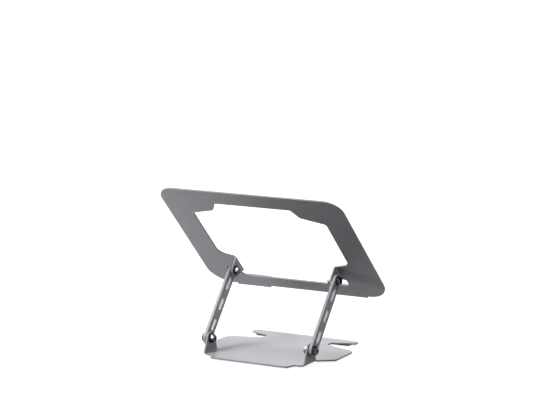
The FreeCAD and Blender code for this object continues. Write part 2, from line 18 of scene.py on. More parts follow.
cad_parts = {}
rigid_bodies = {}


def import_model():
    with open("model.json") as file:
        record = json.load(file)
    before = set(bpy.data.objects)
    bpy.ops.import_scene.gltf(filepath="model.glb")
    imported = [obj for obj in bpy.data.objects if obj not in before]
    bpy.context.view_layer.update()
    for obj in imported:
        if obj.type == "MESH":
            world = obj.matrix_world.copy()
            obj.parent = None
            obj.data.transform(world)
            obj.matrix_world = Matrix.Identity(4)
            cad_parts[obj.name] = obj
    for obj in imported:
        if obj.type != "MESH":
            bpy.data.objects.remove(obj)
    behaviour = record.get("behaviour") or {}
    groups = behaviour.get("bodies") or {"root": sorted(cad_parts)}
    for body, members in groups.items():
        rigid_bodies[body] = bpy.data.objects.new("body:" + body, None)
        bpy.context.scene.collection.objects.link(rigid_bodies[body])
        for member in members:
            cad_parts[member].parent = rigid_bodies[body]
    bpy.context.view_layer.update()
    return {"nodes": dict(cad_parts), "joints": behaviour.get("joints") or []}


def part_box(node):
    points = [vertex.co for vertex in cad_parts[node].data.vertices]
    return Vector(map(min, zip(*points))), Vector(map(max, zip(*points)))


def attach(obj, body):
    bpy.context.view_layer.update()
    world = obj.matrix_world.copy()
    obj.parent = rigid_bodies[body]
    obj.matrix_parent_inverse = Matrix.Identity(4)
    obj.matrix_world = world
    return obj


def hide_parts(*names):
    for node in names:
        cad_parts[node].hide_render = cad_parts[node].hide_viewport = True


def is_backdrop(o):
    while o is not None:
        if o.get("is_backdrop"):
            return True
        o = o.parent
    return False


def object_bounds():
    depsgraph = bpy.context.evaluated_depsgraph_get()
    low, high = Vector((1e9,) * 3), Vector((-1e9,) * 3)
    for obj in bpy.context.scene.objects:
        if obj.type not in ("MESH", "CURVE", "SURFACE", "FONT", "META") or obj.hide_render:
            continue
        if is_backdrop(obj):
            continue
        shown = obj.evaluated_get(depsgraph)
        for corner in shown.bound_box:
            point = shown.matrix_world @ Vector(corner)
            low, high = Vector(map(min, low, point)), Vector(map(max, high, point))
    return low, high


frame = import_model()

# %% [markdown]
# ## What the frame gives
# The stand comes in as one object per CAD piece, in metres, standing on the
# table at height zero. Its joints tell where the hinge axes are, so every
# piece of hardware can be put on its axis without copying a number. Only the
# tilt of the top plate isn't a joint, so that angle stands here.

# %% Hinge axes and plate direction
MM = 0.001
PLATE_TILT = math.radians(44.3)
pivots = {joint["name"]: Vector(joint["pos_m"]) for joint in frame["joints"]}
lower_axis = pivots["lower_hinge"]
upper_axis = pivots["upper_hinge"]
print("lower axis", [round(value, 4) for value in lower_axis])
print("upper axis", [round(value, 4) for value in upper_axis])

# %% [markdown]
# ## Camera
# A long lens from far away keeps upright edges nearly parallel, as product
# pictures do. The camera stands behind the stand, a little to one side and
# ten degrees above the table. It could be set by three angles, but a place
# and a point to look at are easier to read and to change.

# %% Place the camera
CAMERA_PLACE = (-1.33948, 2.51792, 0.69760)
CAMERA_AIM = (-0.00126, 0.01300, 0.19517)
CAMERA_ROLL = math.radians(-0.144)

camera_data = bpy.data.cameras.new("camera")
camera_data.sensor_width = 36.0
camera_data.lens = 148.92
camera_data.shift_x = 0.0013
camera_data.clip_end = 50.0
camera = bpy.data.objects.new("camera", camera_data)
bpy.context.scene.collection.objects.link(camera)
camera.location = CAMERA_PLACE
turn = (Vector(CAMERA_AIM) - camera.location).to_track_quat("-Z", "Y")
roll = Matrix.Rotation(CAMERA_ROLL, 3, "Z").to_quaternion()
camera.rotation_mode = "QUATERNION"
camera.rotation_quaternion = turn @ roll
bpy.context.scene.camera = camera
print("camera at", [round(value, 3) for value in camera.location])

# %% [markdown]
# ## Light
# Satin metal shows its shape through broad, soft light. Point lamps would
# give hard spots on it, so every lamp is a panel. The key hangs high at the
# left and behind, where it strikes the backs of the arms and the walls of
# their slots. Two panels in front keep the base and the face of the top
# plate silver, a small one low at the left lets the underside of the plate
# fade from light to dark, and a small one at the right puts a glint on the
# hardware.

# %% Lamps
STAND_MIDDLE = (0, 0, 0.08)


def soft_panel(name, place, size, power, aim_at=STAND_MIDDLE):
    """Area lamp of a size in metres and a power in watts, turned to a point."""
    data = bpy.data.lights.new(name, "AREA")
    data.shape = "RECTANGLE"
    data.size, data.size_y = size
    data.energy = power
    panel = bpy.data.objects.new(name, data)
    panel.location = place
    shines = Vector(aim_at) - Vector(place)
    panel.rotation_mode = "QUATERNION"
    panel.rotation_quaternion = shines.to_track_quat("-Z", "Y")
    panel.visible_camera = False
    bpy.context.scene.collection.objects.link(panel)


soft_panel("panel_key", (1.10, 0.95, 1.45), (0.8, 0.8), 28.5)
soft_panel("panel_front", (0.90, -1.90, 0.80), (1.6, 0.9), 4.4, (0, 0, 0.02))
soft_panel("panel_top", (0.25, -1.35, 1.45), (1.0, 0.8), 15.0, (0, 0, 0.12))
soft_panel("panel_left", (0.40, 0.22, 0.06), (0.14, 0.14), 0.59, (0.10, 0, 0.16))
soft_panel("panel_right", (-1.60, 1.10, 1.10), (0.30, 0.30), 3.3)
bpy.context.scene.view_settings.view_transform = "Standard"

# %% [markdown]
# ## White surroundings
# The background is white to the eye, in the gloss of metal and through
# glass, but it lights the stand only faintly, so the panels shape it. A
# white wall could stand behind instead, but it would throw light and show
# its edges. A light path node tells the kinds of ray apart. The table below
# needs the same test, so the test is a helper.

# %% Helper that tells the rays apart
def background_rays(tree):
    """One where a ray comes from the camera, from gloss or through glass, else zero."""
    rays = tree.nodes.new("ShaderNodeLightPath")
    found = rays.outputs["Is Camera Ray"]
    for kind in ("Is Glossy Ray", "Is Transmission Ray"):
        larger = tree.nodes.new("ShaderNodeMath")
        larger.operation = "MAXIMUM"
        tree.links.new(found, larger.inputs[0])
        tree.links.new(rays.outputs[kind], larger.inputs[1])
        found = larger.outputs[0]
    return found


print("helper ready: background_rays")

# %% [markdown]
# ## World
# The world is two plain backgrounds and a switch between them: white where
# it is looked at, and a faint, slightly blue one for the light that it
# sheds. A brighter one would flatten the stand.

# %% Make the world
FAINT_TINT = (0.97, 0.985, 1.0, 1)
FAINT_LEVEL = 0.02

world = bpy.data.worlds.new("studio")
bpy.context.scene.world = world
world.use_nodes = True
tree = world.node_tree
tree.nodes.clear()
output = tree.nodes.new("ShaderNodeOutputWorld")
faint = tree.nodes.new("ShaderNodeBackground")
faint.inputs["Color"].default_value = FAINT_TINT
faint.inputs["Strength"].default_value = FAINT_LEVEL
white = tree.nodes.new("ShaderNodeBackground")
white.inputs["Color"].default_value = (1, 1, 1, 1)
white.inputs["Strength"].default_value = 1.0
pick = tree.nodes.new("ShaderNodeMixShader")
tree.links.new(background_rays(tree), pick.inputs[0])
tree.links.new(faint.outputs[0], pick.inputs[1])
tree.links.new(white.outputs[0], pick.inputs[2])
tree.links.new(pick.outputs[0], output.inputs["Surface"])
print("world nodes:", len(tree.nodes))

# %% [markdown]
# ## Table
# The stand needs something to stand on, and its soft shadow there is what
# makes it look heavy. A backdrop with a bend would do too, but the bend
# shows from low down. So the table is one plain face at height zero, so wide
# that no view finds its edge.

# %% Make the table
REACH = 12.0
floor_mesh = bpy.data.meshes.new("table_top")
floor_mesh.from_pydata(
    [(-REACH, -REACH, 0), (REACH, -REACH, 0), (REACH, REACH, 0), (-REACH, REACH, 0)],
    [], [(0, 1, 2, 3)])
table_top = bpy.data.objects.new("table_top", floor_mesh)
bpy.context.scene.collection.objects.link(table_top)
print("table", REACH * 2, "m wide")

# %% [markdown]
# ## Finish of the table
# The camera and the gloss of the metal see the table almost white, with a
# slightly greyer patch round the stand that lets the shadow show. The light
# that it throws back up is that of a dark table top, which keeps the
# undersides deep. So the shade depends on the kind of ray. A glow fills it
# up to white, a little weaker within the first decimetres round the stand.

# %% Paint the table
SHADE_IN_LIGHT = (0.03, 0.03, 0.03, 1)
SHADE_SEEN = (0.50, 0.50, 0.51, 1)
GLOW_NEAR = 0.89
GLOW_FAR = 1.0
FADE_FROM = 0.12
FADE_TO = 0.60

pale = bpy.data.materials.new("pale_table")
pale.use_nodes = True
tree = pale.node_tree
tree.nodes.clear()
output = tree.nodes.new("ShaderNodeOutputMaterial")
seen = background_rays(tree)
shade = tree.nodes.new("ShaderNodeMix")
shade.data_type = "RGBA"
shade.inputs["A"].default_value = SHADE_IN_LIGHT
shade.inputs["B"].default_value = SHADE_SEEN
tree.links.new(seen, shade.inputs["Factor"])
matte = tree.nodes.new("ShaderNodeBsdfDiffuse")
tree.links.new(shade.outputs["Result"], matte.inputs["Color"])
place = tree.nodes.new("ShaderNodeTexCoord")
away = tree.nodes.new("ShaderNodeVectorMath")
away.operation = "LENGTH"
tree.links.new(place.outputs["Object"], away.inputs[0])
fade = tree.nodes.new("ShaderNodeMapRange")
fade.interpolation_type = "SMOOTHSTEP"
fade.inputs["From Min"].default_value = FADE_FROM
fade.inputs["From Max"].default_value = FADE_TO
fade.inputs["To Min"].default_value = GLOW_NEAR
fade.inputs["To Max"].default_value = GLOW_FAR
tree.links.new(away.outputs["Value"], fade.inputs["Value"])
level = tree.nodes.new("ShaderNodeMath")
level.operation = "MULTIPLY"
tree.links.new(seen, level.inputs[0])
tree.links.new(fade.outputs["Result"], level.inputs[1])
glow = tree.nodes.new("ShaderNodeEmission")
glow.inputs["Color"].default_value = (1, 1, 1, 1)
tree.links.new(level.outputs[0], glow.inputs["Strength"])
both_parts = tree.nodes.new("ShaderNodeAddShader")
tree.links.new(matte.outputs[0], both_parts.inputs[0])
tree.links.new(glow.outputs[0], both_parts.inputs[1])
tree.links.new(both_parts.outputs[0], output.inputs["Surface"])
floor_mesh.materials.append(pale)
table_top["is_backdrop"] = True
print("table finish nodes:", len(tree.nodes))

# %% [markdown]
# ## Finishes
# A finish could be painted as an image, which needs an unwrapped mesh. Here
# every finish is a small node tree on object coordinates, so the grain keeps
# its real size and stays on the metal when a hinge turns. Helpers make the
# parts that the trees share: the shader, a noise at a given scale, a colour
# or a roughness that follows the noise, and a fine bump.

# %% Helpers for finishes
def finish_tree(name, colour, metallic, roughness):
    """New material with its nodes, its links and its shader."""
    material = bpy.data.materials.new(name)
    material.use_nodes = True
    nodes = material.node_tree.nodes
    shader = nodes["Principled BSDF"]
    shader.inputs["Base Color"].default_value = (*colour, 1)
    shader.inputs["Metallic"].default_value = metallic
    shader.inputs["Roughness"].default_value = roughness
    return material, nodes, material.node_tree.links, shader


def grain(nodes, links, scale, detail):
    """Noise with about so many blots to the metre."""
    place = nodes.new("ShaderNodeTexCoord")
    noise = nodes.new("ShaderNodeTexNoise")
    noise.inputs["Scale"].default_value = scale
    noise.inputs["Detail"].default_value = detail
    links.new(place.outputs["Object"], noise.inputs["Vector"])
    return noise.outputs["Fac"]


def vary_colour(nodes, links, noise, darker, lighter, shader):
    blend = nodes.new("ShaderNodeMix")
    blend.data_type = "RGBA"
    blend.inputs["A"].default_value = (*darker, 1)
    blend.inputs["B"].default_value = (*lighter, 1)
    links.new(noise, blend.inputs["Factor"])
    links.new(blend.outputs["Result"], shader.inputs["Base Color"])


def vary_roughness(nodes, links, noise, least, most, shader):
    gloss = nodes.new("ShaderNodeMapRange")
    gloss.inputs["To Min"].default_value = least
    gloss.inputs["To Max"].default_value = most
    links.new(noise, gloss.inputs["Value"])
    links.new(gloss.outputs["Result"], shader.inputs["Roughness"])


def bump_from(nodes, links, height, strength, distance, shader, normal=None):
    bump = nodes.new("ShaderNodeBump")
    bump.inputs["Strength"].default_value = strength
    bump.inputs["Distance"].default_value = distance
    links.new(height, bump.inputs["Height"])
    if normal is not None:
        links.new(normal, bump.inputs["Normal"])
    links.new(bump.outputs["Normal"], shader.inputs["Normal"])


print("helpers ready")

# %% [markdown]
# ## Satin silver coat
# Both sheets and the arms carry the same finish: blasted metal under a thin
# silver coat, which is far more paint than mirror, so it is only slightly
# metallic. A very fine grain breaks the gloss, and a slow cloud shifts the
# tone by a few percent. Broken edges could be modelled, but the meshes of
# the sheets stay as the CAD made them, so a rounded-edge normal gives the
# cut edges their thin bright line. The silver leans a little to blue.

# %% Silver coat
SHEET_TONE = 0.46
ARM_TONE = 0.47
BLAST_GRAIN = 2600.0
CLOUD_GRAIN = 14.0
EDGE_RADIUS = 0.35 * MM
BLAST_DEPTH = 0.03 * MM


def tinted(tone, red, green, blue):
    return (tone * red, tone * green, tone * blue)


def silver_coat(name, tone):
    material, nodes, links, shader = finish_tree(name, (tone, tone, tone), 0.06, 0.42)
    shader.inputs["Specular IOR Level"].default_value = 0.3
    blasted = grain(nodes, links, BLAST_GRAIN, 2.0)
    cloud = grain(nodes, links, CLOUD_GRAIN, 3.0)
    vary_colour(nodes, links, cloud, tinted(tone, 0.965, 0.985, 1.035),
                tinted(tone, 1.01, 1.03, 1.08), shader)
    vary_roughness(nodes, links, blasted, 0.36, 0.50, shader)
    edge = nodes.new("ShaderNodeBevel")
    edge.samples = 4
    edge.inputs["Radius"].default_value = EDGE_RADIUS
    bump_from(nodes, links, blasted, 0.25, BLAST_DEPTH, shader,
              edge.outputs["Normal"])
    return material


sheet_coat = silver_coat("silver_coat", SHEET_TONE)
arm_coat = silver_coat("silver_coat_arm", ARM_TONE)
for node, coat in (("base_plate", sheet_coat), ("top_plate", sheet_coat),
                   ("arm_left", arm_coat), ("arm_right", arm_coat)):
    mesh = frame["nodes"][node].data
    for index in range(len(mesh.materials)):
        mesh.materials[index] = coat
print("coated: both sheets and both arms")

# %% [markdown]
# ## Plated steel, black washers, nylon and rubber
# Bolts and nuts are plated steel: fully metallic, smooth, slightly blotched and pitted.
# The bolts are coloured nearly black and the nuts a paler grey. Both are one plated steel,
# and the near-black of the bolts is painted shade: it stands for the dark reflections and
# shade on heads turned away from the key lamp. The washers are black engineering plastic
# with little gloss. The ring in a lock nut is milky nylon. Cushions and feet are matte
# rubber with a dusty grain, so one function makes all the soft ones.

# %% Other finishes
NUT_TONE = 0.16
# The near-black tone of the bolts is painted shade, for heads turned away from the key
# lamp.
BOLT_TONE_WITH_PAINTED_SHADE = 0.05
CUSHION_TONE = 0.045
FOOT_TONE = 0.025
NYLON_TONE = 0.42
FINE_PITS = 0.02 * MM
DUST_DEPTH = 0.05 * MM


def plated_steel(name, tone):
    material, nodes, links, shader = finish_tree(
        name, tinted(tone, 1, 1, 1.04), 1.0, 0.13)
    blotch = grain(nodes, links, 420.0, 2.0)
    vary_colour(nodes, links, blotch, tinted(tone, 0.6, 0.6, 0.63),
                tinted(tone, 1.45, 1.45, 1.5), shader)
    pits = grain(nodes, links, 900.0, 2.0)
    bump_from(nodes, links, pits, 0.15, FINE_PITS, shader)
    return material


def black_plastic():
    material, nodes, links, shader = finish_tree(
        "black_washer", (0.014, 0.014, 0.015), 0.0, 0.5)
    shader.inputs["Specular IOR Level"].default_value = 0.2
    speck = grain(nodes, links, 1500.0, 2.0)
    vary_colour(nodes, links, speck, (0.010, 0.010, 0.011),
                (0.018, 0.018, 0.020), shader)
    bump_from(nodes, links, speck, 0.2, FINE_PITS, shader)
    return material


def dusty(name, tone):
    material, nodes, links, shader = finish_tree(
        name, tinted(tone, 1, 1, 1.03), 0.0, 0.68)
    dust = grain(nodes, links, 1200.0, 4.0)
    vary_colour(nodes, links, dust, tinted(tone, 0.85, 0.85, 0.88),
                tinted(tone, 1.25, 1.25, 1.28), shader)
    bump_from(nodes, links, dust, 0.35, DUST_DEPTH, shader)
    return material


nut_steel = plated_steel("plated_steel", NUT_TONE)
# The bolts take the darker tone, which is painted shade. The nuts keep the paler grey of
# the plating.
bolt_steel_with_painted_shade = plated_steel("bolt_plating_painted_shade", BOLT_TONE_WITH_PAINTED_SHADE)
washer_black = black_plastic()
cushion_rubber = dusty("cushion_rubber", CUSHION_TONE)
foot_rubber = dusty("foot_rubber", FOOT_TONE)
ring_nylon = dusty("ring_nylon", NYLON_TONE)
print("finishes:", len(bpy.data.materials))

# %% [markdown]
# ## Stack of one hinge
# From the middle of the stand outwards a hinge is: end of the shank, lock
# nut, washer, ear, friction washer, arm, washer, bolt head. The distances
# could be typed in, but then they would have to be kept in step by hand.
# They are read from the CAD boxes of the same pieces, so the hardware seats
# exactly where the solids do.

# %% Read the stack from the frame
def span(node):
    """Ends of a piece along the hinge axis, in millimetres."""
    low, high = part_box(node)
    return low[0] / MM, high[0] / MM


def outer_radius(node):
    """Largest radius of a piece about the hinge axis, in millimetres."""
    low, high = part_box(node)
    return (high[2] - low[2]) / MM / 2


nut_in, nut_out = span("lock_nut_lower_right")
washer_spans = [span(kind + "_washer_lower_right")
                for kind in ("nut", "friction", "head")]
head_seat = washer_spans[2][1]
bolt_in, bolt_out = span("bolt_lower_right")
washer_radius = outer_radius("nut_washer_lower_right")
head_radius = outer_radius("bolt_lower_right")
print("stack from", round(bolt_in, 2), "to", round(bolt_out, 2), "mm from the middle")

# %% [markdown]
# ## Rings about the hinge axis
# Bolts, washers and nuts are lathe work. They could be cylinders cut by
# boolean tools, which leaves ragged faces. Instead each is built as a row of
# rings of points about the X axis, stitched to each other with quads. A ring
# can be round, or follow a hexagon for a socket or a nut, and it has the
# same number of points either way, so both kinds stitch together. All sizes
# of the hardware are in millimetres.

# %% Lathe helpers
STEPS = 48


def points_ring(shape, along, radius_at):
    """Ring of points at a distance along the axis, both in millimetres."""
    ring = []
    for step in range(STEPS):
        angle = 2 * math.pi * step / STEPS
        radius = radius_at(angle) * MM
        ring.append(shape.verts.new((along * MM, radius * math.cos(angle),
                                     radius * math.sin(angle))))
    return ring


def round_ring(shape, along, radius):
    return points_ring(shape, along, lambda angle: radius)


def hexagon_ring(shape, along, half_flats, limit=math.inf):
    """Hexagon with corners turned down to a limit."""
    def radius(angle):
        return min(half_flats / math.cos(angle % (math.pi / 3) - math.pi / 6), limit)
    return points_ring(shape, along, radius)


def stitch(shape, rings):
    """Quads between each ring and the next, which have as many points."""
    for first, second in zip(rings, rings[1:]):
        for step in range(len(first)):
            following = (step + 1) % len(first)
            shape.faces.new((first[step], first[following],
                             second[following], second[step]))


def finished_mesh(shape, name):
    """Turns the faces outwards and keeps the mesh."""
    bmesh.ops.recalc_face_normals(shape, faces=shape.faces)
    mesh = bpy.data.meshes.new(name)
    shape.to_mesh(mesh)
    shape.free()
    return mesh


print("ring of", STEPS, "points")

# %% [markdown]
# ## Hinge bolt
# A button head is a shallow dome with a short rim. Its hexagon socket is
# what the eye finds first. A dark patch would pass from far away, but a real
# recess catches light as the head turns: six walls and a conical floor. The
# end of the shank and the rim have small chamfers, because a sharp edge
# never catches light.

# %% Model the bolt
SHANK_RADIUS = 3.0
POINT_TAPER = 0.65
POINT_LONG = 0.6
RIM_TALL = 1.1
RIM_CHAMFER = 0.25
DOME_STEPS = 7
CROWN_SHARE = 0.56
SOCKET_HALF = 2.0
SOCKET_DEEP = 2.0
SOCKET_CONE = 0.5
LIP_WIDE = 0.19
LIP_DEEP = 0.22


def bolt_mesh():
    dome_foot = head_seat + RIM_TALL
    dome_tall = bolt_out - dome_foot
    crown = head_radius * CROWN_SHARE
    shape = bmesh.new()
    rings = [round_ring(shape, bolt_in, SHANK_RADIUS - POINT_TAPER),
             round_ring(shape, bolt_in + POINT_LONG, SHANK_RADIUS),
             round_ring(shape, head_seat, SHANK_RADIUS),
             round_ring(shape, head_seat, head_radius - RIM_CHAMFER),
             round_ring(shape, head_seat + RIM_CHAMFER, head_radius),
             round_ring(shape, dome_foot, head_radius)]
    for step in range(1, DOME_STEPS + 1):
        angle = math.pi / 2 * step / DOME_STEPS
        rings.append(round_ring(shape, dome_foot + dome_tall * math.sin(angle),
                                crown + (head_radius - crown) * math.cos(angle)))
    rings.append(hexagon_ring(shape, bolt_out, SOCKET_HALF + LIP_WIDE))
    rings.append(hexagon_ring(shape, bolt_out - LIP_DEEP, SOCKET_HALF))
    rings.append(hexagon_ring(shape, bolt_out - SOCKET_DEEP, SOCKET_HALF))
    stitch(shape, rings)
    tip_along = (bolt_out - SOCKET_DEEP - SOCKET_CONE) * MM
    tip = shape.verts.new((tip_along, 0, 0))
    for step in range(STEPS):
        shape.faces.new((rings[-1][step], rings[-1][(step + 1) % STEPS], tip))
    shape.faces.new(list(reversed(rings[0])))
    return finished_mesh(shape, "hinge_bolt")


bolt_shape = bolt_mesh()
print("bolt", len(bolt_shape.polygons), "faces")

# %% [markdown]
# ## Lock nut
# The nut is a hexagon whose corners are turned down to a chamfer, with a
# round collar that holds a nylon ring. The ring grips the thread, and so the
# hinge keeps the friction that it was set to. The rings run round the whole
# section, out over the collar and the hexagon and back by the bore.

# %% Model the nut
NUT_HALF = 5.0
NUT_BORE = 3.05
CORNER_DOWN = 0.55
CORNER_BROKEN = 0.06
CORNER_TALL = 0.45
COLLAR_RADIUS = 4.4
COLLAR_TALL = 1.4
POCKET_RADIUS = 3.5
POCKET_DEEP = 1.2


def nut_mesh():
    collar_end = nut_in + COLLAR_TALL
    corner = NUT_HALF / math.cos(math.pi / 6)
    shape = bmesh.new()
    rings = [round_ring(shape, nut_in + 0.15, POCKET_RADIUS),
             round_ring(shape, nut_in, POCKET_RADIUS + 0.25),
             round_ring(shape, nut_in, COLLAR_RADIUS - 0.3),
             round_ring(shape, nut_in + 0.35, COLLAR_RADIUS),
             round_ring(shape, collar_end, COLLAR_RADIUS)]
    for along, turned_down in ((collar_end + 0.02, CORNER_DOWN),
                               (collar_end + CORNER_TALL, CORNER_BROKEN),
                               (nut_out - CORNER_TALL, CORNER_BROKEN),
                               (nut_out, CORNER_DOWN)):
        rings.append(hexagon_ring(shape, along, NUT_HALF, corner - turned_down))
    rings.append(round_ring(shape, nut_out, NUT_BORE))
    rings.append(round_ring(shape, nut_in + POCKET_DEEP, NUT_BORE))
    rings.append(round_ring(shape, nut_in + POCKET_DEEP, POCKET_RADIUS))
    stitch(shape, rings + rings[:1])
    return finished_mesh(shape, "lock_nut")


nut_shape = nut_mesh()
print("nut", len(nut_shape.polygons), "faces")

# %% [markdown]
# ## Nylon ring
# The ring fills the pocket of the collar but for a hair's breadth. It could
# be a coloured band on the nut, but as a piece of its own it has its own
# material and a clean edge. It is turned from the four corners of its
# section, and the washers below are turned in the same way.

# %% Model the nylon ring
RING_FROM = nut_in + 0.25
RING_TO = nut_in + 1.15
RING_RADIUS = POCKET_RADIUS - 0.02


def turned_ring(shape, outline):
    """Adds a closed ring from (along, radius) pairs in millimetres."""
    rings = [round_ring(shape, along, radius) for along, radius in outline]
    stitch(shape, rings + rings[:1])


shape = bmesh.new()
turned_ring(shape, [(RING_FROM, NUT_BORE), (RING_FROM, RING_RADIUS),
                    (RING_TO, RING_RADIUS), (RING_TO, NUT_BORE)])
nylon_shape = finished_mesh(shape, "nylon_ring")
print("nylon ring", len(nylon_shape.polygons), "faces")

# %% [markdown]
# ## Washers
# Three flat black rings sit in each stack: one under the nut, one between
# ear and arm, where it rubs and gives the friction, and one under the bolt
# head. Their edges are broken, so they show as thin dark lines with a soft
# rim. They never move against each other, so all three belong to one mesh.

# %% Model the washers
SOFT_EDGE = 0.18
shape = bmesh.new()
for inner, outer in washer_spans:
    turned_ring(shape, [
        (inner + SOFT_EDGE, NUT_BORE), (inner, NUT_BORE + SOFT_EDGE),
        (inner, washer_radius - SOFT_EDGE), (inner + SOFT_EDGE, washer_radius),
        (outer - SOFT_EDGE, washer_radius), (outer, washer_radius - SOFT_EDGE),
        (outer, NUT_BORE + SOFT_EDGE), (outer - SOFT_EDGE, NUT_BORE)])
washers_shape = finished_mesh(shape, "washer_set")
print("washers", len(washers_shape.polygons), "faces")

# %% [markdown]
# ## One hinge, four times
# The same stack sits on the left and on the right of each axis. A mirror
# would turn the faces of the copy inside out. A geometry nodes tree puts two
# copies of a shape on an axis instead, the second turned half round so that
# its head points out too. The tree has the axis as inputs and ends in real
# geometry with its material.

# %% Tree that pairs a shape on a hinge axis
def pair_tree():
    """Tree with a line of points that all lie on the axis, a copy on each."""
    tree = bpy.data.node_groups.new("pair_on_axis", "GeometryNodeTree")
    face = tree.interface
    face.new_socket("Geometry", in_out="OUTPUT", socket_type="NodeSocketGeometry")
    face.new_socket("Geometry", in_out="INPUT", socket_type="NodeSocketGeometry")
    face.new_socket("Axis Y", in_out="INPUT", socket_type="NodeSocketFloat")
    face.new_socket("Axis Z", in_out="INPUT", socket_type="NodeSocketFloat")
    face.new_socket("Copies", in_out="INPUT", socket_type="NodeSocketInt")
    face.new_socket("Material", in_out="INPUT", socket_type="NodeSocketMaterial")
    nodes, links = tree.nodes, tree.links
    given = nodes.new("NodeGroupInput")
    result = nodes.new("NodeGroupOutput")
    start = nodes.new("ShaderNodeCombineXYZ")
    links.new(given.outputs["Axis Y"], start.inputs["Y"])
    links.new(given.outputs["Axis Z"], start.inputs["Z"])
    line = nodes.new("GeometryNodeMeshLine")
    line.inputs["Offset"].default_value = (0, 0, 0)
    links.new(given.outputs["Copies"], line.inputs["Count"])
    links.new(start.outputs[0], line.inputs["Start Location"])
    index = nodes.new("GeometryNodeInputIndex")
    half_turn = nodes.new("ShaderNodeMath")
    half_turn.operation = "MULTIPLY"
    half_turn.inputs[1].default_value = math.pi
    links.new(index.outputs[0], half_turn.inputs[0])
    turn_node = nodes.new("ShaderNodeCombineXYZ")
    links.new(half_turn.outputs[0], turn_node.inputs["Z"])
    copies = nodes.new("GeometryNodeInstanceOnPoints")
    links.new(line.outputs[0], copies.inputs["Points"])
    links.new(given.outputs["Geometry"], copies.inputs["Instance"])
    links.new(turn_node.outputs[0], copies.inputs["Rotation"])
    real = nodes.new("GeometryNodeRealizeInstances")
    links.new(copies.outputs[0], real.inputs[0])
    paint = nodes.new("GeometryNodeSetMaterial")
    links.new(real.outputs[0], paint.inputs["Geometry"])
    links.new(given.outputs["Material"], paint.inputs["Material"])
    links.new(paint.outputs[0], result.inputs[0])
    return tree


pair_on_axis = pair_tree()
print("tree inputs:", [item.name for item in pair_on_axis.interface.items_tree])

# %% [markdown]
# ## From a tree to a plain mesh
# A modifier could stay live on its piece, but a piece that turns with a
# hinge is simplest as a plain mesh. So a tree is run once, with its inputs
# found by their names, and only the mesh that it makes is kept. Shading is
# then smooth except at edges that are sharp on the real piece.

# %% Helpers that apply a tree and smooth a mesh
SHARP_DEGREES = 35


def socket_id(tree, name):
    """Identifier of the input with a name, which a modifier takes values by."""
    return next(item.identifier for item in tree.interface.items_tree
                if item.item_type == "SOCKET" and item.in_out == "INPUT"
                and item.name == name)


def apply_tree(piece, tree, values):
    """Runs a tree on a piece once and keeps the plain mesh."""
    modifier = piece.modifiers.new("shape", "NODES")
    modifier.node_group = tree
    for name, value in values.items():
        modifier[socket_id(tree, name)] = value
    graph = bpy.context.evaluated_depsgraph_get()
    graph.update()
    made = bpy.data.meshes.new_from_object(piece.evaluated_get(graph), depsgraph=graph)
    piece.modifiers.remove(modifier)
    piece.data = made
    return piece


def smooth(mesh, degrees=SHARP_DEGREES):
    """Shades a mesh smooth except at edges sharper than the angle."""
    shape = bmesh.new()
    shape.from_mesh(mesh)
    limit = math.radians(degrees)
    for face in shape.faces:
        face.smooth = True
    for edge in shape.edges:
        edge.smooth = len(edge.link_faces) == 2 and edge.calc_face_angle() < limit
    shape.to_mesh(mesh)
    shape.free()


print("edges sharper than", SHARP_DEGREES, "degrees stay sharp")

# %% [markdown]
# ## Hardware on both axes
# The lower hardware rides on the base and the upper hardware on the top
# plate, as on the real stand, where each bolt is held by its ear's nut and
# the arm turns between the washers. Each piece takes over from the plain
# solids that it stands for. The nylon rings stand for none, since in the CAD
# they are part of the nuts.

# %% Put the hardware in place
def hinge_piece(name, shape, axis, body_name, coat, stands_for):
    """Pair of a shape on an axis, riding a body in place of some solids."""
    piece = bpy.data.objects.new(name, shape.copy())
    bpy.context.scene.collection.objects.link(piece)
    apply_tree(piece, pair_on_axis, {"Axis Y": axis.y, "Axis Z": axis.z,
                                     "Copies": 2, "Material": coat})
    smooth(piece.data)
    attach(piece, body_name)
    if stands_for:
        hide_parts(*stands_for)


def both(prefix, level):
    return ["%s_%s_%s" % (prefix, level, side) for side in ("left", "right")]


for level, axis, body_name in (("lower", lower_axis, "base"),
                               ("upper", upper_axis, "tray")):
    hinge_piece("bolts_" + level, bolt_shape, axis, body_name,
                bolt_steel_with_painted_shade, both("bolt", level))
    hinge_piece("nuts_" + level, nut_shape, axis, body_name,
                nut_steel, both("lock_nut", level))
    hinge_piece("nylon_rings_" + level, nylon_shape, axis, body_name,
                ring_nylon, [])
    hinge_piece("washers_" + level, washers_shape, axis, body_name,
                washer_black,
                both("head_washer", level) + both("friction_washer", level)
                + both("nut_washer", level))
print("hinge pieces laid on both axes")

# %% [markdown]
# ## Rubber pads
# Cushions, stop liners and feet are moulded pads with round ends. The sides
# are drawn in a little at the foot and the top edge is rounded, as a mould
# needs. A box with a bevel would round the upright corners by the same
# amount as the edge, so the body is a stack of outlines of one shape, each a
# little smaller or higher than the last.

# %% Pad body
END_STEPS = 14
EDGE_STEPS = 4
TOP_EDGE = 0.45 * MM
TOP_EDGE_SHARE = 0.3
FOOT_DRAW = 0.12 * MM


def pad_outline(shape, length, width, inset, height):
    """Ring of points round a slot shape, a little inside its full size."""
    radius = width / 2 - inset
    reach_x = length / 2 - width / 2
    ring = []
    for centre, start in ((reach_x, -math.pi / 2), (-reach_x, math.pi / 2)):
        for step in range(END_STEPS + 1):
            angle = start + math.pi * step / END_STEPS
            ring.append(shape.verts.new((centre + radius * math.cos(angle),
                                         radius * math.sin(angle), height)))
    return ring


